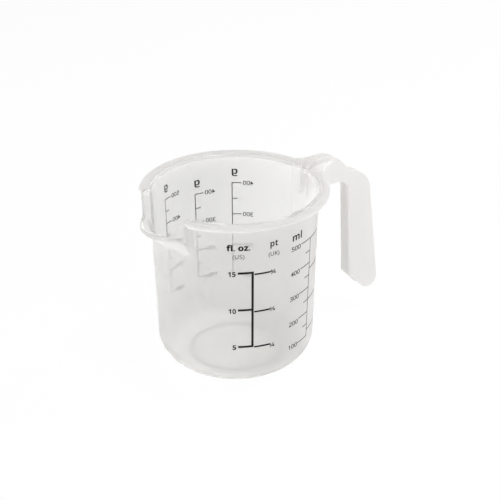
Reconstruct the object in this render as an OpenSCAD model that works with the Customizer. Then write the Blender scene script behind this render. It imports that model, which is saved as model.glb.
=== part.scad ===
// Measuring jug that holds about 570 ml to the lip of its pouring spout, with an open hook handle.
// The jug stands on z = 0 with its axis on Z. The handle points along +X and the spout along -X.

/* [Vessel] */
// Height from the table to the top of the rim
jug_h = 106; // [96:1:118]
// Outside diameter of the wall where it meets the rim
mouth_d = 95.2; // [93:0.2:104]
// Outside diameter of the wall if it ran on down to the table
base_d = 90; // [82:0.5:92]
// Thickness of the wall
wall_t = 1.6; // [1.2:0.1:2.2]
// Thickness of the floor
floor_t = 2; // [1.4:0.1:3]
// Outside radius of the corner between floor and wall
corner_r = 17; // [11:0.5:22]
// Width of the ring that the jug stands on
foot_w = 3; // [2:0.5:5]
// Depth of the recess inside that ring
recess_h = 0.6; // [0.3:0.1:1]

/* [Rim] */
// Distance that the rim stands out from the wall
rim_out = 5.8; // [4.6:0.1:7]
// Thickness of the rim
rim_t = 2.2; // [1.8:0.1:3]
// Chamfer along the rim's outer edges
rim_edge = 0.6; // [0.3:0.1:0.8]

/* [Spout] */
// Angle of the rim that the spout takes up
spout_angle = 60; // [54:1:68]
// Angle that the bulge of the lip takes up
lip_angle = 44.4; // [36:0.4:48]
// Distance that the middle of the lip stands out past the rim
spout_out = 4.9; // [2:0.1:8]
// Distance that the ends of the spout are set in from the rim's edge
spout_in = 1.5; // [0.5:0.1:2.5]
// Drop of the lip below the rim
spout_drop = 11; // [8:0.5:12]
// Height of the upright band under the lip
lip_h = 1; // [0.5:0.1:2]
// Depth of the whole spout, from the rim down
spout_h = 23; // [20:0.5:28]

/* [Handle] */
// Distance from the rim's edge to the handle's outer face, at the level of its lower end
handle_reach = 47.8; // [44:0.2:54]
// Distance from the rim down to the lower end of the handle
handle_drop = 89.6; // [78:0.2:94]
// Width of the handle over its side walls, where they leave the rim
handle_w = 7.8; // [7:0.2:12]
// Thickness of the side walls
side_t = 1.6; // [1.2:0.1:2.2]
// Lean of each side wall, in towards the lower end
side_lean = 0.6; // [0:0.1:1]
// Thickness of the web between them
web_t = 2; // [1.4:0.1:2.6]
// Height that the side walls stand over the web
curb_h = 2.9; // [1.6:0.1:3.4]
// Height of the side walls' crest over the rim
crest_h = 5; // [3.4:0.1:6]
// Radius at the outer end of the level crest
crest_r = 16; // [12:0.5:20]
// Angle at which the crest falls to the dip for the thumb
crest_fall = 47; // [38:1:52]
// Depth of the dip below the rim
dip_h = 7.6; // [6:0.1:9]
// Radius in the dip
dip_r = 2.5; // [1:0.5:5]
// Angle at which the arm falls past the dip
arm_fall = 14; // [10:1:20]
// Length of the straight run between the dip and the bend
arm_run = 2; // [0.5:0.1:4]
// Depth of the arm below the rim
arm_h = 12.8; // [11.6:0.2:16]
// Outside radius of the bend between arm and grip
bend_r = 16; // [12:0.5:18]
// Inside radius of that bend
inner_bend_r = 7; // [4:0.5:8]
// Radius under the arm, where it meets the wall
root_r = 9; // [5:0.5:12]
// Lean of the grip's outer face
grip_lean = 7; // [4:0.5:8]
// Lean of the grip's inner edge
inner_lean = 3; // [0:0.2:4]
// Depth of the grip, from its outer face to its inner edge, at the level of the arm's underside
grip_depth = 15.3; // [13:0.1:18]
// Radius at the lower end of the grip
tip_r = 6.5; // [5:0.5:8]
// Radius in the plan of the rim, where it sweeps out along the arm
fillet_r = 18.7; // [10:0.1:22]
// Angle of the thicker wall panel that carries the handle
panel_angle = 24; // [20:1:34]
// Distance that the panel stands out from the wall
panel_out = 0.5; // [0.3:0.1:1]

/* [Print] */
// Thickness of the printed ink
ink_t = 0.06; // [0.04:0.01:0.1]
// Width of a bold line
bold_w = 1.3; // [0.7:0.1:1.5]
// Width of a fine line
fine_w = 0.5; // [0.3:0.1:0.7]

/* [Hidden] */
$fn = 96;

// The wall is a cone, and every radius on it comes from here
mouth_r = mouth_d / 2;
taper = (mouth_d - base_d) / 2 / jug_h;
function wall_r(z) = base_d / 2 + taper * z;
function inner_r(z) = wall_r(z) - wall_t;
rim_r = mouth_r + rim_out;
rim_z = jug_h - rim_t;
floor_z = recess_h + floor_t;
lap = 1;
arc_steps = 14;
function arc(centre, r, from, to, steps = arc_steps) =
    [for (i = [0 : steps]) let (a = from + (to - from) * i / steps) centre + r * [cos(a), sin(a)]];

// The rounded corner touches the floor and the sloping wall
slope = atan(taper);
function corner_x(r_at, r) = r_at - r / cos(slope);
outer_c = [corner_x(wall_r(corner_r), corner_r), corner_r];
inner_corner_r = corner_r - wall_t;
inner_c = [corner_x(inner_r(floor_z + inner_corner_r), inner_corner_r), floor_z + inner_corner_r];
pan_z = floor_z + corner_r;

// Height that a volume in millilitres fills to, with the rounded corner taken off a plain cone
mm3_per_ml = 1000;
spandrel_area_share = 1 - PI / 4;
spandrel_centre_share = 0.2234;
floor_r = inner_r(floor_z);
corner_loss = 2 * PI * (floor_r - spandrel_centre_share * inner_corner_r)
    * spandrel_area_share * inner_corner_r * inner_corner_r;
function fill_z(ml) = floor_z + (pow(floor_r * floor_r * floor_r
    + 3 * taper * (ml * mm3_per_ml + corner_loss) / PI, 1 / 3) - floor_r) / taper;

// Spout: half angle, and the thin wedge that each cheek fills
spout_half = spout_angle / 2;
end_r = rim_r - spout_in;
cheek_angle = wall_t / end_r * 180 / PI;
front_half = spout_half - cheek_angle;
spout_steps = 30;
flare_steps = 6;
spout_z = jug_h - spout_h;
front_z = jug_h - spout_drop - lip_h;
lip_ramp = spout_drop / end_r * 180 / PI;
function ease(t) = t * t * (3 - 2 * t);
function lip_r(a) = end_r + (spout_in + spout_out) * pow(cos(min(90, 180 * abs(a) / lip_angle)), 2);
function lip_z(a) = jug_h - spout_drop * ease(min(1, (front_half - abs(a)) / lip_ramp));
function flare(r_top, inset) = [for (i = [0 : flare_steps])
    let (t = i / flare_steps, z = spout_z + (front_z - spout_z) * t)
    [wall_r(z) - inset + (r_top - wall_r(z)) * ease(t), z]];

// Handle profile in the plane of the handle: x from the jug's axis, y from the top of the rim.
// Each straight run of its outer edge is a unit normal and a distance along it from the origin
function unit(a) = [cos(a), sin(a)];
function meet(n1, k1, n2, k2) =
    [k1 * n2[1] - k2 * n1[1], k2 * n1[0] - k1 * n2[0]] / (n1[0] * n2[1] - n2[0] * n1[1]);
fall_n = unit(90 - crest_fall);
arm_n = unit(90 - arm_fall);
grip_n = unit(grip_lean);
reach_x = rim_r + handle_reach;
grip_k = grip_n * [reach_x, -handle_drop];
// The dip is set back from the grip by the arm's slope, and the level crest takes up what is left
arm_slope = arm_run + dip_r * tan((crest_fall - arm_fall) / 2)
    + bend_r * tan((90 - arm_fall - grip_lean) / 2);
dip_p = [(grip_k + (dip_h + arm_slope * sin(arm_fall)) * grip_n[1]) / grip_n[0] - arm_slope * cos(arm_fall),
    -dip_h];
arm_k = arm_n * dip_p;
fall_k = fall_n * dip_p;
crest_c = [(fall_k - crest_r - (crest_h - crest_r) * fall_n[1]) / fall_n[0], crest_h - crest_r];
crest_rise_share = 0.44;
rise_x = inner_r(jug_h) + (crest_c[0] - inner_r(jug_h)) * crest_rise_share;
dip_c = meet(fall_n, fall_k + dip_r, arm_n, arm_k + dip_r);
bend_c = meet(arm_n, arm_k - bend_r, grip_n, grip_k - bend_r);
tip_c = [(grip_k - tip_r + (handle_drop - tip_r) * grip_n[1]) / grip_n[0], tip_r - handle_drop];
tip_slant = 47;
grip_x = reach_x - (handle_drop - arm_h) * tan(grip_lean) - grip_depth;
function inner_x(y) = grip_x - (y + arm_h) * tan(inner_lean);
inner_bend_c = [inner_x(-arm_h - inner_bend_r) - inner_bend_r / cos(inner_lean), -arm_h - inner_bend_r];
slant_n = unit(270 - tip_slant);
inner_n = unit(180 + inner_lean);
slant_p = meet(slant_n, slant_n * tip_c + tip_r, inner_n, inner_n * [grip_x, -arm_h]);
root_x = wall_r(jug_h - arm_h - root_r);
root_c = [root_x + root_r, -arm_h - root_r];
fillet_steps = 8;

// The outer edge from the crest to the lower end, set in by a distance.
// It starts where it passes the height given
function outer_edge(inset, top) = concat(
    arc(crest_c, crest_r - inset, asin(min(1, (top - crest_c[1]) / (crest_r - inset))), 90 - crest_fall),
    arc(dip_c, dip_r + inset, 270 - crest_fall, 270 - arm_fall, fillet_steps),
    arc(bend_c, bend_r - inset, 90 - arm_fall, grip_lean),
    [tip_c + (tip_r - inset) * grip_n]);

module side_outline() {
    polygon(concat(
        [[root_x - lap, 0], [inner_r(jug_h), 0], [rise_x, crest_h]],
        outer_edge(0, crest_h),
        arc(tip_c, tip_r, 360 + grip_lean, 270 - tip_slant),
        [slant_p],
        arc(inner_bend_c, inner_bend_r, -inner_lean, 90, fillet_steps),
        arc(root_c, root_r, 90, 180, fillet_steps),
        [[root_x - lap, -arm_h - root_r]]));
}

// Lays a drawing of the handle's plane upright, with its face at y = 0 and its thickness towards -Y
module upright(thickness) {
    rotate([90, 0, 0]) linear_extrude(thickness) children();
}

// Places its children on the outer face of the side wall on +Y, which leans inwards
module on_left_wall() {
    translate([0, handle_w / 2, jug_h]) rotate([-side_lean, 0, 0]) children();
}

module vessel_core() {
    rotate_extrude() polygon([[0, 0], [wall_r(0) + panel_out, 0], [wall_r(rim_z) + panel_out, rim_z],
        [0, rim_z]]);
}

module rim_ring() {
    rotate_extrude() polygon([[inner_r(rim_z), rim_z], [rim_r - rim_edge, rim_z], [rim_r, rim_z + rim_edge],
        [rim_r, jug_h - rim_edge], [rim_r - rim_edge, jug_h], [inner_r(jug_h), jug_h]]);
}

module rim_disc() {
    rotate_extrude() polygon([[0, rim_z - lap], [inner_r(rim_z), rim_z - lap], [inner_r(rim_z), rim_z],
        [rim_r - rim_edge, rim_z], [rim_r, rim_z + rim_edge], [rim_r, jug_h - rim_edge],
        [rim_r - rim_edge, jug_h], [0, jug_h]]);
}

module spout_window() {
    rotate([0, 0, 180 - spout_half]) rotate_extrude(angle = spout_angle)
        polygon([[0, spout_z], [rim_r + lap, spout_z], [rim_r + lap, jug_h + lap], [0, jug_h + lap]]);
}

module left_wall() {
    difference() {
        on_left_wall() upright(side_t) side_outline();
        vessel_core();
        rim_disc();
    }
}

// Everything on the outer side of the left side wall's inner face, used to trim the web
module left_of_web() {
    on_left_wall() translate([0, -side_t, -handle_drop - lap]) cube([reach_x, handle_w, handle_drop * 2]);
}

// Prints a flat drawing on the wall. x runs round the wall to the right from the angle given, and y is the
// height
module print_on_wall(angle) {
    color([0.1, 0.1, 0.1]) intersection() {
        rotate([0, 0, angle]) rotate([90, 0, 90]) linear_extrude(rim_r) children();
        rotate_extrude() polygon([[wall_r(pan_z), pan_z], [wall_r(pan_z) + ink_t, pan_z],
            [wall_r(rim_z) + ink_t, rim_z], [wall_r(rim_z), rim_z]]);
    }
}

module scale_line(w, low, high) {
    translate([-w / 2, low - w / 2]) square([w, high - low + w]);
}

// A tick that runs to the left of the line where its length is negative
module tick(z, length, w) {
    translate([min(0, length), z - w / 2]) square([abs(length), w]);
}

module floor_pan() {
    color([0.93, 0.93, 0.92, 0.6]) rotate_extrude() polygon(concat(
        [[0, recess_h], [outer_c[0] - foot_w, recess_h], [outer_c[0] - foot_w, 0]],
        arc(outer_c, corner_r, -90, -slope),
        [[wall_r(pan_z), pan_z], [inner_r(pan_z), pan_z]],
        arc(inner_c, inner_corner_r, -slope, -90),
        [[0, floor_z]]));
}

module cup_wall() {
    color([0.93, 0.93, 0.92, 0.6]) difference() {
        rotate([0, 0, panel_angle / 2]) rotate_extrude(angle = 360 - panel_angle)
            polygon([[inner_r(pan_z), pan_z], [wall_r(pan_z), pan_z], [wall_r(rim_z), rim_z],
                [inner_r(rim_z), rim_z]]);
        spout_window();
    }
}

module rim_flange() {
    color([0.9, 0.9, 0.88, 0.7]) difference() {
        rim_ring();
        spout_window();
    }
}

// The front of the spout is swept through the angle, with one closed section at each step
module spout_front() {
    sections = [for (i = [0 : spout_steps]) let (a = front_half * (2 * i / spout_steps - 1), r = lip_r(a),
        outer = flare(r, 0), inner = flare(r, wall_t),
        profile = concat(outer, [[r, lip_z(a)], [r - wall_t, lip_z(a)]],
            [for (j = [flare_steps : -1 : 0]) inner[j]]))
        [for (p = profile) [-p[0] * cos(a), -p[0] * sin(a), p[1]]]];
    count = len(sections[0]);
    sides = [for (i = [0 : spout_steps - 1], j = [0 : count - 1])
        let (k = (j + 1) % count, a = i * count, b = a + count)
        each [[a + j, b + k, b + j], [a + j, a + k, b + k]]];
    color([0.93, 0.93, 0.92, 0.6]) polyhedron([for (s = sections) each s], concat(sides,
        [[for (j = [count - 1 : -1 : 0]) j]], [[for (j = [0 : count - 1]) spout_steps * count + j]]));
}

module spout_cheeks() {
    color([0.93, 0.93, 0.92, 0.6]) for (start = [180 - spout_half, 180 + front_half])
        rotate([0, 0, start]) rotate_extrude(angle = cheek_angle)
            polygon(concat([[inner_r(spout_z), spout_z]], flare(end_r, 0),
                [[end_r, jug_h], [inner_r(jug_h), jug_h]]));
}

module handle_panel() {
    color([0.95, 0.95, 0.94, 0.5]) rotate([0, 0, -panel_angle / 2]) rotate_extrude(angle = panel_angle)
        polygon([[inner_r(pan_z), pan_z], [wall_r(pan_z) + panel_out, pan_z],
            [wall_r(rim_z) + panel_out, rim_z], [inner_r(rim_z), rim_z]]);
}

module handle_web() {
    inside = outer_edge(curb_h + web_t, -web_t);
    color([0.94, 0.94, 0.93, 0.7]) difference() {
        translate([0, handle_w / 2, jug_h]) upright(handle_w) intersection() {
            side_outline();
            polygon(concat([[root_x, 0]], outer_edge(curb_h, 0),
                [tip_c + [tip_r - curb_h, -tip_r * 2], tip_c + [tip_r - curb_h - web_t, -tip_r * 2]],
                [for (i = [len(inside) - 1 : -1 : 0]) inside[i]], [[root_x, -web_t]]));
        }
        left_of_web();
        mirror([0, 1, 0]) left_of_web();
        vessel_core();
        rim_disc();
    }
}

module handle_wall_left() {
    color([0.94, 0.94, 0.93, 0.7]) left_wall();
}

module handle_wall_right() {
    color([0.94, 0.94, 0.93, 0.7]) mirror([0, 1, 0]) left_wall();
}

// Two gussets in the plane of the rim, where it sweeps out along the arm
module handle_root_fillets() {
    side_y = handle_w / 2;
    centre = [sqrt(pow(rim_r + fillet_r, 2) - pow(side_y + fillet_r, 2)), side_y + fillet_r];
    touch = atan2(centre[1], centre[0]);
    module left_fillet() {
        difference() {
            translate([0, 0, rim_z]) linear_extrude(rim_t) polygon(concat(
                arc([0, 0], rim_r - lap, 0, touch, fillet_steps),
                arc(centre, fillet_r, 180 + touch, 270, fillet_steps), [[centre[0], 0]]));
            rim_disc();
            on_left_wall() translate([0, -handle_w, -rim_t - lap]) cube([reach_x, handle_w, rim_t * 2 + lap]);
        }
    }
    color([0.94, 0.94, 0.93, 0.7]) {
        left_fillet();
        mirror([0, 1, 0]) left_fillet();
    }
}

// Where each scale's line stands round the wall, and the millilitres in a unit of it
ml_line = -59.2;
ml_step = 100;
ml_top = 500;
quarter_step = 125;
oz_line = -109.9;
oz_ml = 29.5735;
oz_step = 5;
oz_top = 15;
pint_ml = 568.26;
// The dry goods' scales have even steps, and begin at their mark for 100 g
light_line = 60.1;
light_z = 25.8;
light_step = 20.5;
light_count = 4;
medium_line = 88.6;
medium_z = 27.2;
medium_step = 18.5;
medium_count = 4;
dense_line = 118.6;
dense_z = 25.5;
dense_step = 15.5;
dense_count = 5;

// The longest ticks first
long_tick = 9.6;
half_tick = 5;
quarter_tick = 12;
oz_tick = 8;
pint_tick = 9.2;
dry_tick = 5.6;
dry_half_tick = 3.6;
pint_gap = 0.3;
pint_w = 1;
// The pint marks are printed a little above their true level
pint_rise = [0.3, 0.3, 1.5];

module scale_ml() {
    print_on_wall(ml_line) {
        scale_line(fine_w, fill_z(ml_step), fill_z(ml_top));
        for (ml = [ml_step : ml_step : ml_top]) tick(fill_z(ml), -long_tick, fine_w);
        for (ml = [ml_step * 1.5 : ml_step : ml_top]) tick(fill_z(ml), -half_tick, fine_w);
    }
}

module scale_quarters() {
    print_on_wall(ml_line) translate([fine_w / 2, 0])
        for (ml = [quarter_step : quarter_step : ml_top]) tick(fill_z(ml), quarter_tick, fine_w);
}

module scale_fl_oz() {
    print_on_wall(oz_line) {
        scale_line(bold_w, fill_z(oz_step * oz_ml), fill_z(oz_top * oz_ml));
        for (oz = [oz_step : oz_step : oz_top]) tick(fill_z(oz * oz_ml), -oz_tick, bold_w);
    }
}

module scale_pint() {
    print_on_wall(oz_line) translate([bold_w / 2 + pint_gap, 0])
        for (i = [0 : 2]) tick(fill_z((i + 1) / 4 * pint_ml) + pint_rise[i], pint_tick, pint_w);
}

// A scale for a dry good, with a long tick at each step and a short one between two of them
module dry_scale(line, first, step, count) {
    print_on_wall(line) {
        scale_line(fine_w, first, first + step * (count - 1));
        for (i = [0 : count - 1]) tick(first + step * i, -dry_tick, fine_w);
        for (i = [0 : count - 2]) tick(first + step * (i + 1 / 2), -dry_half_tick, fine_w);
    }
}

module scale_dry_light() {
    dry_scale(light_line, light_z, light_step, light_count);
}

module scale_dry_medium() {
    dry_scale(medium_line, medium_z, medium_step, medium_count);
}

module scale_dry_dense() {
    dry_scale(dense_line, dense_z, dense_step, dense_count);
}

floor_pan();
cup_wall();
rim_flange();
spout_front();
spout_cheeks();
handle_panel();
handle_web();
handle_wall_right();
handle_wall_left();
handle_root_fillets();
scale_ml();
scale_quarters();
scale_fl_oz();
scale_pint();
scale_dry_light();
scale_dry_medium();
scale_dry_dense();
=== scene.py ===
import math

import bpy
from mathutils import Matrix, Vector


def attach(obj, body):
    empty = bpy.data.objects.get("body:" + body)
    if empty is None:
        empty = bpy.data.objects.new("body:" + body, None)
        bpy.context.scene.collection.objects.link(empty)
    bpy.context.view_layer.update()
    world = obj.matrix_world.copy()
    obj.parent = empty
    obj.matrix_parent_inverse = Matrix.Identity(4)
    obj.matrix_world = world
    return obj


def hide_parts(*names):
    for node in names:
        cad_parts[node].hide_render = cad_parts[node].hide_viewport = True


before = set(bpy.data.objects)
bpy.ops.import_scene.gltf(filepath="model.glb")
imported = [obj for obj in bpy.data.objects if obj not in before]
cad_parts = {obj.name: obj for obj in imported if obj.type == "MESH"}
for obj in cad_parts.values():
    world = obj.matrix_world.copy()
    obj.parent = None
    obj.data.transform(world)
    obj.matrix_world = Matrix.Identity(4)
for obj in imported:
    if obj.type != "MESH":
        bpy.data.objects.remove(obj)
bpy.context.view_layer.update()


# Camera
# The photograph looks down on the jug, nearly straight at its fluid-ounce scale, and leans a touch
# to the left. The jug stands off the picture's centre, which the two shifts follow.
eye_turn, eye_rise, eye_far, eye_lean = math.radians(-31.5), math.radians(28.5), 0.72, math.radians(-0.6)
eye_on = Vector((0, 0, 0.053))
bpy.ops.object.select_all(action="DESELECT")
bpy.ops.object.camera_add(location=eye_on + Matrix.Rotation(eye_turn, 3, "Z") @ Vector(
    (0, -eye_far * math.cos(eye_rise), eye_far * math.sin(eye_rise))))
camera = bpy.context.object
camera.rotation_euler = (Matrix.Rotation(eye_turn, 3, "Z") @ Matrix.Rotation(math.pi / 2 - eye_rise, 3, "X")
                         @ Matrix.Rotation(eye_lean, 3, "Z")).to_euler()
camera.data.lens, camera.data.sensor_width = 89.57, 36
camera.data.shift_x, camera.data.shift_y = 0.0298, 0.0406
camera.data.clip_start, camera.data.clip_end = 0.02, 20
bpy.context.scene.camera = camera


# Cup
# The whole jug is one injection moulding of frosted polypropylene. The cup is a slightly conical
# wall on a rounded floor with a foot ring, under a flat rim, and the front of the rim is drawn out
# into the pouring spout. It is turned from one profile, and the spout is then pressed out of it.
mm = 0.001
jug_h, mouth_r, base_r, wall_t, floor_t, corner_r = 106, 47.6, 45, 1.6, 2, 17
foot_in, recess_h, rim_out, rim_t, rim_round, lip_round = 25.4, 0.6, 5.8, 2.2, 0.6, 0.5
spout_half, lip_half, spout_out, spout_in, spout_drop, lip_h, spout_h = 30, 22.2, 4.9, 1.5, 11, 1.6, 23
panel_half, panel_side, panel_out, panel_z, panel_run = 12, 0.15, 0.5, 19.7, 0.8
handle_half, fillet_r = 3.9, 18.7
taper = (mouth_r - base_r) / jug_h
slope = math.atan(taper)
rim_r, rim_z, floor_z = mouth_r + rim_out, jug_h - rim_t, recess_h + floor_t
spout_z, front_z, end_r = jug_h - spout_h, jug_h - spout_drop - lip_h, rim_r - spout_in
front_half = spout_half - math.degrees(wall_t / end_r)


def wall_r(z):
    return base_r + taper * z


def arc(x, y, r, start, end, steps):
    turns = [math.radians(start + (end - start) * i / steps) for i in range(steps + 1)]
    return [(x + r * math.cos(t), y + r * math.sin(t)) for t in turns]


def ease(t):
    t = max(0.0, min(1.0, t))
    return t * t * (3 - 2 * t)


def drawn(name, points, closed):
    """An outline in the XZ plane, extruded point by point from one vertex, in millimetres."""
    bpy.ops.object.select_all(action="DESELECT")
    bpy.ops.mesh.primitive_plane_add(size=mm, location=(0, 0, 0))
    piece = bpy.context.object
    piece.name = piece.data.name = name
    bpy.ops.object.mode_set(mode="EDIT")
    bpy.ops.mesh.merge(type="CENTER")
    bpy.ops.transform.translate(value=(points[0][0] * mm, 0, points[0][1] * mm))
    for (x0, z0), (x1, z1) in zip(points, points[1:]):
        bpy.ops.mesh.extrude_region_move(
            TRANSFORM_OT_translate={"value": ((x1 - x0) * mm, 0, (z1 - z0) * mm)})
    if closed:
        bpy.ops.mesh.select_all(action="SELECT")
        bpy.ops.mesh.edge_face_add()
    bpy.ops.object.mode_set(mode="OBJECT")
    return piece


# Each stop of the profile is where it lies on the round cup, and what the spout makes of it
outer_x = wall_r(corner_r) - corner_r / math.cos(slope)
inner_round = corner_r - wall_t
inner_z = floor_z + inner_round
inner_x = wall_r(inner_z) - wall_t - inner_round / math.cos(slope)
lean = math.degrees(slope)
wall_zs = [21, 34, 50, 66, 80]
flare_zs = [spout_z + (front_z - spout_z) * i / 10 for i in range(11)]
high_zs = [95.5, 97, 98.5, 100, 101.5, 102.9]
foot = [(foot_in - 0.5, recess_h), (foot_in - 0.15, 0.45), (foot_in, 0.15), (foot_in + 0.3, 0), (27, 0)]
stops = [(p, "") for p in [(0, recess_h), (12, recess_h)] + foot
         + arc(outer_x, corner_r, corner_r, -90, -lean, 20)]
stops += [((wall_r(z), z), "") for z in [19.4, 20.2] + wall_zs]
stops += [((wall_r(z), z), "outer") for z in flare_zs + high_zs]
under_r = wall_r(rim_z)
stops += [((under_r + 0.12, rim_z - 0.45), "lip0"), ((under_r + 0.4, rim_z - 0.1), "lip1"),
          ((under_r + 0.9, rim_z), "lip2"), ((50.5, rim_z), "lip3")]
stops += [(p, f"edge{i}") for i, p in enumerate(
    arc(rim_r - rim_round, rim_z + rim_round, rim_round, -90, 0, 3)
    + arc(rim_r - rim_round, jug_h - rim_round, rim_round, 0, 90, 4))]
stops += [((50, jug_h), "top")]
top_in = wall_r(jug_h) - wall_t
stops += [(p, f"in{i}") for i, p in enumerate(
    arc(top_in + lip_round, jug_h - lip_round, lip_round, 90, 180, 4))]
stops += [((wall_r(z) - wall_t, z), "inner") for z in reversed(flare_zs + high_zs + [104.3])]
stops += [((wall_r(z) - wall_t, z), "") for z in reversed(wall_zs)]
stops += [(p, "") for p in arc(inner_x, inner_z, inner_round, -lean, -90, 18) + [(15, floor_z), (0, floor_z)]]

# Columns of points stand 1.5 degrees apart, and closer at the spout's ends and the handle's root
near_spout = [25.2, 25.8, 26.3, 26.8, 27.3, 27.8, 28.3, 28.8, 29.3, 29.8, 30.3, 30.8, 31.3, 32]
near_handle = [2.35, 2.6, 2.85, 3.26, 3.36, 3.5, 3.7, 3.95, 4.25, 4.6, 5, 5.5, 6.1, 6.8, 7.5, 8.3, 9.1,
               10, 11, 11.85, 12.15, 13, 14, 15, 16, 17, 18, 18.9, 19.5]
fixed = [side * a for a in near_handle + [180 - a for a in near_spout] for side in (1, -1)]
columns = sorted(fixed + [a for a in [-180 + 1.5 * i for i in range(240)]
                          if min(abs(a - f) for f in fixed) > 0.7 and abs(a) > near_handle[0]])

cup = drawn("jug", [p for p, _ in stops], closed=False)
bpy.ops.object.mode_set(mode="EDIT")
bpy.ops.mesh.select_all(action="SELECT")
bpy.ops.mesh.spin(steps=len(columns), angle=2 * math.pi, center=(0, 0, 0), axis=(0, 0, 1))
bpy.ops.mesh.select_all(action="SELECT")
bpy.ops.mesh.remove_doubles(threshold=0.02 * mm)
bpy.ops.mesh.normals_make_consistent(inside=False)
bpy.ops.object.mode_set(mode="OBJECT")

# Beside the handle the rim's edge rises in two low wings, and its flat and its underside follow in part
wing_h, wing_deg, wing_run, wing_in, wing_side = 2.6, 17, 11, 2.5, 1.2
wings = {"edg": 1, "top": 0.4, "lip": 0.35}
places = {(round(x, 2), round(z, 2)): (kind, i) for i, ((x, z), kind) in enumerate(stops)}
mouth_at = [kind for _, kind in stops].index("top")
fillet_y = handle_half + fillet_r
fillet_x = math.sqrt((rim_r + fillet_r) ** 2 - fillet_y ** 2)
# Over the handle's web, up to web_deg, the rim stays round. The falls are how far the stops of its
# underside and edge lie below the spout's lip.
web_deg, lip_falls, edge_falls = 2.7, (1.25, 1.18, 1.1, 1), (0.92, 0.84, 0.76, 0.68)


def rim_at(a):
    """Radius of the rim's edge, which sweeps out along the handle in two fillets."""
    a, touch = abs(a), math.degrees(math.atan2(fillet_y, fillet_x))
    if a >= touch or a < web_deg:
        return rim_r
    t = math.radians(max(a, math.degrees(math.atan2(handle_half, fillet_x))))
    along = fillet_x * math.cos(t) + fillet_y * math.sin(t)
    return along - math.sqrt(along ** 2 - (fillet_x ** 2 + fillet_y ** 2 - fillet_r ** 2))


def pressed(kind, r, z, a):
    """Where a stop of the profile goes on the spout, a degrees off its middle."""
    inside = min(abs(a), front_half)
    lip_r = end_r + (spout_in + spout_out) * math.cos(math.radians(min(90, 90 * inside / lip_half))) ** 2
    lip_z = jug_h - spout_drop * ease((front_half - inside) / math.degrees(spout_drop / end_r))
    if kind in ("outer", "inner"):
        off = wall_t if kind == "inner" else 0
        if z > front_z:
            last, rim = (105.5, lip_z - 0.5) if kind == "inner" else (103.2, lip_z - 1.3)
            return lip_r - off, front_z + (z - front_z) * (rim - front_z) / (last - front_z)
        return wall_r(z) - off + (lip_r - wall_r(z)) * ease((z - spout_z) / (front_z - spout_z)), z
    if kind.startswith("lip"):
        return lip_r, lip_z - lip_falls[int(kind[3:])]
    if kind.startswith("edge"):
        i = int(kind[4:])
        if i < len(edge_falls):
            return lip_r, lip_z - edge_falls[i]
        t = math.radians((i - len(edge_falls)) * 90 / 4)
        return lip_r - lip_round + lip_round * math.cos(t), lip_z - lip_round + lip_round * math.sin(t)
    if kind == "top":
        return lip_r - wall_t / 2, lip_z
    t = math.radians(90 + int(kind[2:]) * 90 / 4)
    return lip_r - wall_t + lip_round + lip_round * math.cos(t), lip_z - lip_round + lip_round * math.sin(t)


# The spout's outside and inside each blend into the round cup over a few degrees
blend_out, blend_in = (27.5, 3.8), (26, 3.4)
polished = set()
for v in cup.data.vertices:
    r, z = math.hypot(v.co.x, v.co.y) / mm, v.co.z / mm
    if r < 0.01:
        continue
    kind, stop = places.get((round(r, 2), round(z, 2)), ("", 0))
    turn = math.degrees(math.atan2(v.co.y, v.co.x)) % 360
    a = columns[round(turn * len(columns) / 360) % len(columns)]
    off = 180 - abs(a)
    start, run = blend_out if kind == "outer" or kind[:3] in ("lip", "edg", "top") else blend_in
    share = 1 - ease((off - start) / run) if kind else 0
    if kind[:3] == "edg" and not share:
        r += rim_at(a) - rim_r
    if not share and abs(a) < wing_deg:
        beside = ease((abs(r * math.sin(math.radians(a))) - wing_in) / wing_side)
        z += wing_h * wings.get(kind[:3], 0) * ease((wing_deg - abs(a)) / wing_run) * beside
    if kind in ("outer", "lip0", "lip1") or (not kind and stop < mouth_at):
        beside = 1 - ease((abs(a) - panel_half + panel_side) / (2 * panel_side))
        r += panel_out * beside * ease((z - panel_z) / panel_run)
    if share:
        far, high = pressed(kind, r, z, off)
        r, z = r + (far - r) * share, z + (high - z) * share
    t = math.radians(a)
    v.co = (r * mm * math.cos(t), r * mm * math.sin(t), z * mm)
    if stop > mouth_at:
        polished.add(tuple(round(c / mm, 2) for c in v.co))


# Handle
# An open hook moulded on with the cup: two thin side walls that lean in towards the lower end, with
# a web between them set below their edges. The crest rises over the rim, dips for the thumb, bends
# into the grip and ends in a rounded tip.
handle_reach, handle_drop, side_t, side_lean, web_t, curb_h = 47.8, 89.6, 1.6, math.radians(0.6), 2, 2.9
crest_h, crest_r, crest_fall, dip_h, dip_r = 5, 16, 47, 7.6, 2.5
arm_fall, arm_run, arm_h, bend_r, inner_bend_r, root_r = 14, 2, 12.8, 16, 7, 9
grip_lean, inner_lean, grip_depth, tip_r, tip_slant = 7, 3, 15.3, 6.5, 47


def unit(degrees):
    return Vector((math.cos(math.radians(degrees)), math.sin(math.radians(degrees))))


def meet(n1, k1, n2, k2):
    return Vector((k1 * n2.y - k2 * n1.y, k2 * n1.x - k1 * n2.x)) / (n1.x * n2.y - n2.x * n1.y)


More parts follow.
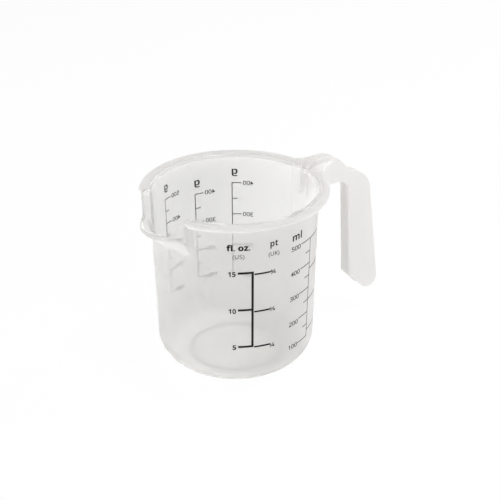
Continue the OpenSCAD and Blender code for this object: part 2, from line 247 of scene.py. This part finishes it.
fall_n, arm_n, grip_n = unit(90 - crest_fall), unit(90 - arm_fall), unit(grip_lean)
reach_x = rim_r + handle_reach
grip_k = grip_n @ Vector((reach_x, -handle_drop))
arm_slope = (arm_run + dip_r * math.tan(math.radians((crest_fall - arm_fall) / 2))
             + bend_r * math.tan(math.radians((90 - arm_fall - grip_lean) / 2)))
fall = math.radians(arm_fall)
dip_p = Vector(((grip_k + (dip_h + arm_slope * math.sin(fall)) * grip_n.y) / grip_n.x
                - arm_slope * math.cos(fall), -dip_h))
arm_k, fall_k = arm_n @ dip_p, fall_n @ dip_p
crest_c = Vector(((fall_k - crest_r - (crest_h - crest_r) * fall_n.y) / fall_n.x, crest_h - crest_r))
dip_c = meet(fall_n, fall_k + dip_r, arm_n, arm_k + dip_r)
bend_c = meet(arm_n, arm_k - bend_r, grip_n, grip_k - bend_r)
tip_c = Vector(((grip_k - tip_r + (handle_drop - tip_r) * grip_n.y) / grip_n.x, tip_r - handle_drop))
grip_x = reach_x - (handle_drop - arm_h) * math.tan(math.radians(grip_lean)) - grip_depth
inner_n = unit(180 + inner_lean)
slant_n = unit(270 - tip_slant)
slant_p = meet(slant_n, slant_n @ tip_c + tip_r, inner_n, inner_n @ Vector((grip_x, -arm_h)))
inner_bend_y = -arm_h - inner_bend_r
inner_bend_x = (grip_x - (inner_bend_y + arm_h) * math.tan(math.radians(inner_lean))
                - inner_bend_r / math.cos(math.radians(inner_lean)))
root_x = wall_r(jug_h - arm_h - root_r)
mouth_x = wall_r(jug_h) - wall_t


def outer_edge(inset, top):
    first = math.degrees(math.asin(min(1, (top - crest_c.y) / (crest_r - inset))))
    return (arc(*crest_c, crest_r - inset, first, 90 - crest_fall, 14)
            + arc(*dip_c, dip_r + inset, 270 - crest_fall, 270 - arm_fall, 8)
            + arc(*bend_c, bend_r - inset, 90 - arm_fall, grip_lean, 20)
            + [tuple(tip_c + (tip_r - inset) * grip_n)])


def block(name, points, width):
    """A drawing of the handle's plane, as a block of that width whose faces lean in as the side walls do."""
    piece = drawn(name, [(x, y + jug_h) for x, y in points], closed=True)
    bpy.ops.object.mode_set(mode="EDIT")
    bpy.ops.mesh.select_all(action="SELECT")
    bpy.ops.transform.translate(value=(0, -width / 2 * mm, 0))
    bpy.ops.mesh.extrude_region_move(TRANSFORM_OT_translate={"value": (0, width * mm, 0)})
    bpy.ops.mesh.select_all(action="SELECT")
    bpy.ops.mesh.normals_make_consistent(inside=False)
    bpy.ops.object.mode_set(mode="OBJECT")
    for v in piece.data.vertices:
        v.co.y += math.copysign((v.co.z - jug_h * mm) * math.tan(side_lean), v.co.y)
    return piece


def joined(piece, other, operation):
    bpy.ops.object.select_all(action="DESELECT")
    bpy.context.view_layer.objects.active = piece
    piece.select_set(True)
    cut = piece.modifiers.new("joined", "BOOLEAN")
    cut.operation, cut.solver, cut.object = operation, "EXACT", other
    bpy.ops.object.modifier_apply(modifier="joined")
    bpy.data.objects.remove(other)


# The block starts inside the wall, and its top rises from the mouth to the crest
sunk_x, clear_x, past_x, past_y, skim = root_x - 1, root_x - 4, 130, 30, -0.02
rise_x, rise_run = mouth_x + 0.6, 6.4
rise = [(rise_x, -0.3)] + [
    (rise_x + rise_run * i / 8, (crest_h - 0.5) * math.sin(math.radians(90 * i / 8))) for i in range(1, 9)]
handle = block("handle", [(sunk_x, -0.3)] + rise + [(55.5, crest_h - 0.15)]
               + outer_edge(0, crest_h) + arc(*tip_c, tip_r, grip_lean, -tip_slant - 90, 14)[1:]
               + [tuple(slant_p)] + arc(inner_bend_x, inner_bend_y, inner_bend_r, -inner_lean, 90, 10)
               + arc(root_x + root_r, -arm_h - root_r, root_r, 90, 180, 10) + [(sunk_x, -arm_h - root_r)],
               handle_half * 2)
hollow_w = (handle_half - side_t / math.cos(side_lean)) * 2
front = tip_c + Vector((tip_r - curb_h, -2 * tip_r))
channel = block("channel", [(clear_x, skim)] + outer_edge(curb_h, skim)
                + [tuple(front), (past_x, front.y), (past_x, past_y), (clear_x, past_y)], hollow_w)
back = tip_c + Vector((tip_r - curb_h - web_t, -2 * tip_r))
pocket = block("pocket", [(clear_x, -web_t)] + outer_edge(curb_h + web_t, -web_t)
               + [tuple(back), (clear_x, back.y)], hollow_w)
joined(handle, channel, "DIFFERENCE")
joined(handle, pocket, "DIFFERENCE")
soft = handle.modifiers.new("soft", "BEVEL")
soft.width, soft.segments, soft.limit_method, soft.angle_limit = 0.35 * mm, 2, "ANGLE", math.radians(38)
bpy.ops.object.modifier_apply(modifier="soft")
joined(cup, handle, "UNION")
bpy.ops.object.select_all(action="DESELECT")
cup.select_set(True)
bpy.context.view_layer.objects.active = cup
bpy.ops.object.shade_smooth_by_angle(angle=math.radians(32))
flat = cup.modifiers.new("flat", "WEIGHTED_NORMAL")
flat.keep_sharp = True
bpy.ops.object.modifier_apply(modifier="flat")
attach(cup, "root")
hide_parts("floor_pan", "cup_wall", "rim_flange", "spout_front", "spout_cheeks", "handle_panel",
            "handle_web", "handle_wall_right", "handle_wall_left", "handle_root_fillets")


# Frosted polypropylene
# The moulding is clear plastic made hazy by its own crystals, with a faint warm tint and a fine satin
# grain from the mould. Its polished inside is the clearest, its outside blurs what stands behind it,
# and its thick floor, rim and handle are milkier. Its shadow is soft, as light goes through it.
class Sum:
    """A socket that can stand in sums with numbers and other sockets."""

    def __init__(self, finish, socket):
        self.finish, self.socket = finish, socket

    def _math(self, operation, a, b):
        return self.finish.node("ShaderNodeMath", {"operation": operation}, {0: a, 1: b})

    def __add__(self, other):
        return self._math("ADD", self, other)

    def __rsub__(self, other):
        return self._math("SUBTRACT", other, self)

    def __mul__(self, other):
        return self._math("MULTIPLY", self, other)

    __radd__, __rmul__ = __add__, __mul__


class Finish:
    """A material, or a world, whose nodes are added one by one."""

    def __init__(self, made):
        self.made = made
        self.made.use_nodes = True
        self.tree = self.made.node_tree
        self.tree.nodes.clear()

    def node(self, kind, settings=None, inputs=None, output=0):
        made = self.tree.nodes.new(kind)
        for name, value in (settings or {}).items():
            setattr(made, name, value)
        for name, value in (inputs or {}).items():
            if isinstance(value, Sum):
                self.tree.links.new(value.socket, made.inputs[name])
            else:
                made.inputs[name].default_value = value
        return Sum(self, made.outputs[output]) if len(made.outputs) else None


plastic = Finish(bpy.data.materials.new("frosted_polypropylene"))
spot = plastic.node("ShaderNodeTexCoord", output="Object")
cloud = plastic.node("ShaderNodeTexNoise", inputs={
    "Vector": spot, "Scale": 60, "Detail": 3, "Roughness": 0.5})
grain = plastic.node("ShaderNodeTexNoise", inputs={"Vector": spot, "Scale": 1800, "Detail": 2})
bump = plastic.node("ShaderNodeBump", inputs={"Strength": 0.04, "Distance": 0.00005, "Height": grain})
polish = plastic.node("ShaderNodeAttribute", {"attribute_name": "polish"}, output="Fac")
clear = plastic.node("ShaderNodeBsdfPrincipled", inputs={
    "Base Color": (0.95, 0.947, 0.942, 1), "Roughness": cloud * 0.03 + 0.02, "IOR": 1.2,
    "Transmission Weight": 1.0, "Normal": bump})
pale = plastic.node("ShaderNodeBsdfDiffuse", inputs={"Color": (0.9, 0.893, 0.884, 1), "Normal": bump})
soft = plastic.node("ShaderNodeBsdfTranslucent", inputs={"Color": (0.955, 0.948, 0.942, 1), "Normal": bump})
milk = plastic.node("ShaderNodeAttribute", {"attribute_name": "milk"}, output="Fac")
haze = plastic.node("ShaderNodeMixShader", inputs={0: milk * 0.7 + 0.08, 1: soft, 2: pale})
through = plastic.node("ShaderNodeMixShader", inputs={
    0: cloud * 0.06 + (1 - polish) * 0.47 + milk * 0.6, 1: clear, 2: haze})
shade = plastic.node("ShaderNodeLightPath", output="Is Shadow Ray")
thin = plastic.node("ShaderNodeBsdfTransparent", inputs={"Color": (0.68, 0.68, 0.672, 1)})
surface = plastic.node("ShaderNodeMixShader", inputs={0: shade, 1: through, 2: thin})
plastic.node("ShaderNodeOutputMaterial", inputs={"Surface": surface})
cup.data.materials.clear()
cup.data.materials.append(plastic.made)

# Polish and milk of each point, by where it lies
wall_look, rim_look, handle_look = (0, 0), (-0.7, 0.14), (-1, 0.8)
handle_from, rim_from, floor_top, floor_fade = 54.5, 103, 8, 4
points = [cup.data.attributes.new(name, "FLOAT", "POINT") for name in ("polish", "milk")]
for v in cup.data.vertices:
    at = tuple(round(c / mm, 2) for c in v.co)
    if at in polished:
        look = 1, ease((floor_top - at[2]) / floor_fade)
    elif math.hypot(v.co.x, v.co.y) / mm > handle_from:
        look = handle_look
    else:
        look = rim_look if at[2] > rim_from else wall_look
    for held, value in zip(points, look):
        held.data[v.index].value = value


# Printed scales
# The scales are screen-printed on the outside of the wall in one dense black ink. The lines and
# ticks are the model's own, and the figures and units are set here beside them.
ink = Finish(bpy.data.materials.new("black_ink"))
spot = ink.node("ShaderNodeTexCoord", output="Object")
mottle = ink.node("ShaderNodeTexNoise", inputs={"Vector": spot, "Scale": 900, "Detail": 3})
tone = ink.node("ShaderNodeMix", {"data_type": "RGBA"}, {
    0: mottle, 6: (0.004, 0.004, 0.005, 1), 7: (0.014, 0.013, 0.013, 1)}, output=2)
black = ink.node("ShaderNodeBsdfPrincipled", inputs={
    "Base Color": tone, "Roughness": mottle * 0.2 + 0.4, "Specular IOR Level": 0.15})
ink.node("ShaderNodeOutputMaterial", inputs={"Surface": black})
for name in ("ml", "quarters", "fl_oz", "pint", "dry_light", "dry_medium", "dry_dense"):
    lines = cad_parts[f"scale_{name}"].data
    lines.materials.clear()
    lines.materials.append(ink.made)

# Where the sans-serif signs start in the thin and in the bold hand, by the plain sign that each starts from
hands = {"0": (0x1D7E2, 0x1D7EC), "A": (0x1D5A0, 0x1D5D4), "a": (0x1D5BA, 0x1D5EE)}
film_out, film_t = 0.05, 0.08


def sans(text, bold=False):
    """The text in sans-serif signs. The thin 4 stays plain, as its outline breaks when its strokes swell."""
    made = ""
    for sign in text:
        first = "0" if sign.isdigit() else "a" if sign.islower() else "A" if sign.isupper() else ""
        plain = not first or (sign == "4" and not bold)
        made += sign if plain else chr(hands[first][bold] + ord(sign) - ord(first))
    return made


def word(text, turn, z, high, wide, swell=0.0, side="CENTER"):
    """Figures wrapped round the wall. turn is the angle of their left or right end or their middle, z the
    middle of their height, high and wide their size in millimetres, and swell what their strokes gain."""
    bpy.ops.object.select_all(action="DESELECT")
    bpy.ops.object.text_add(location=(0, 0, 0))
    made = bpy.context.object
    made.data.body, made.data.size, made.data.offset, made.data.resolution_u = text, 1, swell, 4
    bpy.ops.object.convert(target="MESH")
    made = bpy.context.object
    xs, ys = [v.co.x for v in made.data.vertices], [v.co.y for v in made.data.vertices]
    grow_x, grow_y = wide / (max(xs) - min(xs)), high / (max(ys) - min(ys))
    start = {"LEFT": min(xs), "RIGHT": max(xs), "CENTER": (min(xs) + max(xs)) / 2}[side]
    middle = (min(ys) + max(ys)) / 2
    for v in made.data.vertices:
        up = z + (v.co.y - middle) * grow_y
        r = wall_r(up) + film_out
        t = math.radians(turn) + (v.co.x - start) * grow_x / wall_r(z)
        v.co = (r * mm * math.cos(t), r * mm * math.sin(t), up * mm)
    film = made.modifiers.new("film", "SOLIDIFY")
    film.thickness, film.offset = film_t * mm, -1
    bpy.ops.object.modifier_apply(modifier="film")
    return made


def print_row(name, words):
    bpy.ops.object.select_all(action="DESELECT")
    for made in words:
        made.select_set(True)
    bpy.context.view_layer.objects.active = words[0]
    bpy.ops.object.join()
    row = bpy.context.object
    row.name = row.data.name = name
    bpy.ops.object.mode_set(mode="EDIT")
    bpy.ops.mesh.select_all(action="SELECT")
    bpy.ops.mesh.remove_doubles(threshold=0.001 * mm)
    bpy.ops.object.mode_set(mode="OBJECT")
    row.data.materials.clear()
    row.data.materials.append(ink.made)
    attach(row, "root")


print_row("figures_ml", [word(sans("ml", bold=True), -75.5, 91.6, 4.6, 7.4)] + [
    word(sans(f"{n}00"), -71.8, z, 2.9, 7.2, 0.012, "RIGHT")
    for n, z in ((5, 84.4), (4, 68.7), (3, 52.9), (2, 36.4), (1, 21.0))])
print_row("figures_fl_oz", [
    word(sans("fl. oz.", bold=True), -119.2, 92.0, 3.9, 12.8, 0.02),
    word(sans("(US)"), -119.2, 86.2, 3.2, 6.4)] + [
    word(sans(f"{n}", bold=True), -121.2, z, 3.1, wide, 0.01, "RIGHT")
    for n, z, wide in ((15, 75.8, 4.1), (10, 52.5, 4.1), (5, 28.9, 2.1))])
print_row("figures_pint", [
    word(sans("pt", bold=True), -95, 91.6, 4.6, 4.6),
    word(sans("(UK)"), -95, 85.6, 3.2, 6.6)] + [
    word(n, -97.4, z, 2.6, 3.2, 0.025, "LEFT") for n, z in (("¾", 74.9), ("½", 51.4), ("¼", 27.6))])
for name, turn, first, step, count in (("figures_light", 60.1, 25.8, 20.5, 4),
                                       ("figures_medium", 88.6, 27.2, 18.5, 4),
                                       ("figures_dense", 118.6, 25.5, 15.5, 5)):
    zs = [first + step * n for n in range(count)]
    print_row(name, [word(sans("g", bold=True), turn - 2, zs[-1] + 6.6, 4.8, 3.6)] + [
        word(sans(f"{n}00"), turn - 8, z, 2.8, 6.4, 0.012, "RIGHT") for n, z in enumerate(zs, 1)])


# Studio
# A plain pale table in a light room, with a lamp high above the jug and soft ones to its left, right
# and front. Seen straight the table is white with a faint shadow, and mirrored or through the plastic
# it and the room are white too.
bpy.ops.object.select_all(action="DESELECT")
bpy.ops.mesh.primitive_circle_add(vertices=96, radius=4, fill_type="NGON", location=(0, 0, 0))
table = bpy.context.object
table.name = "table"


def rays(finish):
    """The rays that come straight from the camera, and those that a mirror or clear plastic sends on."""
    seen = finish.node("ShaderNodeLightPath", output="Is Camera Ray")
    mirrored, through, spread = (Sum(finish, seen.socket.node.outputs[f"Is {kind} Ray"])
                                 for kind in ("Glossy", "Transmission", "Diffuse"))
    sent_on = finish.node("ShaderNodeMath", {"operation": "MAXIMUM"}, {0: mirrored, 1: through})
    return seen, sent_on * (1 - spread)


def glowing(finish, share):
    """A white that shows that share of the light on it, and glows for the rest."""
    return finish.node("ShaderNodeAddShader", inputs={
        0: finish.node("ShaderNodeBsdfDiffuse", inputs={"Color": (share, share, share, 1)}),
        1: finish.node("ShaderNodeEmission", inputs={"Color": (1, 1, 1, 1), "Strength": 1 - share})})


paper = Finish(bpy.data.materials.new("white_paper"))
seen, sent_on = rays(paper)
matt = paper.node("ShaderNodeBsdfDiffuse", inputs={"Color": (0.8, 0.8, 0.8, 1)})
surface = paper.node("ShaderNodeMixShader", inputs={0: sent_on, 1: matt, 2: glowing(paper, 0.95)})
surface = paper.node("ShaderNodeMixShader", inputs={0: seen, 1: surface, 2: glowing(paper, 0.09)})
paper.node("ShaderNodeOutputMaterial", inputs={"Surface": surface})
table.data.materials.append(paper.made)

lamp_far, aim_h = 1.3, 0.05


def lamp(name, turn, rise, size, power, shown=False):
    """A square lamp, turn degrees to the right of the front and rise degrees up. Only a shown one glints."""
    bpy.ops.object.select_all(action="DESELECT")
    t, u = math.radians(turn), math.radians(rise)
    place = lamp_far * Vector((math.sin(t) * math.cos(u), -math.cos(t) * math.cos(u), math.sin(u)))
    bpy.ops.object.light_add(type="AREA", location=place + Vector((0, 0, aim_h)))
    made = bpy.context.object
    made.name = name
    made.rotation_euler = place.to_track_quat("Z", "Y").to_euler()
    made.data.size, made.data.energy = size, power
    made.visible_transmission = made.visible_glossy = shown


lamp("above", 45, 76, 0.45, 6, shown=True)
lamp("left", -95, 30, 0.6, 2.4)
lamp("right", 82, 22, 0.6, 4.4)
lamp("front", 20, 26, 0.6, 4.3)
room_light = 0.44
room = Finish(bpy.data.worlds.new("room"))
bpy.context.scene.world = room.made
seen, sent_on = rays(room)
white = room.node("ShaderNodeMath", {"operation": "MAXIMUM"}, {0: seen, 1: sent_on})
back = room.node("ShaderNodeBackground", inputs={
    "Color": (1, 1, 1, 1), "Strength": white * (1 - room_light) + room_light})
room.node("ShaderNodeOutputWorld", inputs={"Surface": back})

bpy.context.scene.view_settings.view_transform = "Standard"
